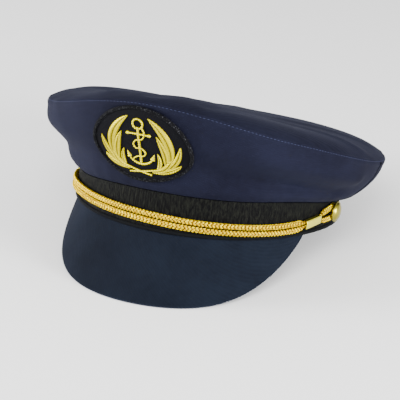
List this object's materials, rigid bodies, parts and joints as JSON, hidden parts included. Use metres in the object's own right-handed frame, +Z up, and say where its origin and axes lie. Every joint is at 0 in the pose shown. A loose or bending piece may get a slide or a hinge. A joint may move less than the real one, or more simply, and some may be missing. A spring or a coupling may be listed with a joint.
{
  "type": "captain hat",
  "caption": "Navy captain hat with a soft flared crown, black woven band, cloth-covered peak, gold cord chin strap on side buttons and an oval embroidered anchor badge.",
  "frame": {"origin": "on the table under the middle of the hat's bounding box", "axes": "+Z up, -Y the wearer's front where the peak is, +X the wearer's left. The hat leans back and stands on its peak's edge and its nape"},
  "size_m": [0.227, 0.264, 0.1247],
  "materials": {
    "navy_cloth": "matte brushed cotton twill",
    "black_weave": "matte ribbed woven braid",
    "black_felt": "matte felt",
    "gold_thread": "satin-stitched metallic thread",
    "gold_cord": "braided metallic yarn",
    "pale_brass": "polished"
  },
  "bodies": {
    "root": {"band": "black_weave", "band_piping": "black_weave", "crown_side": "navy_cloth", "crown_top": "navy_cloth", "visor": "navy_cloth", "chin_cord": "gold_cord", "keeper_left": "pale_brass", "keeper_right": "pale_brass", "side_button_left": "pale_brass", "side_button_right": "pale_brass", "badge_patch": "black_felt", "badge_rim": "black_felt", "badge_wreath": "gold_thread", "badge_anchor": "gold_thread"}
  },
  "joints": []
}
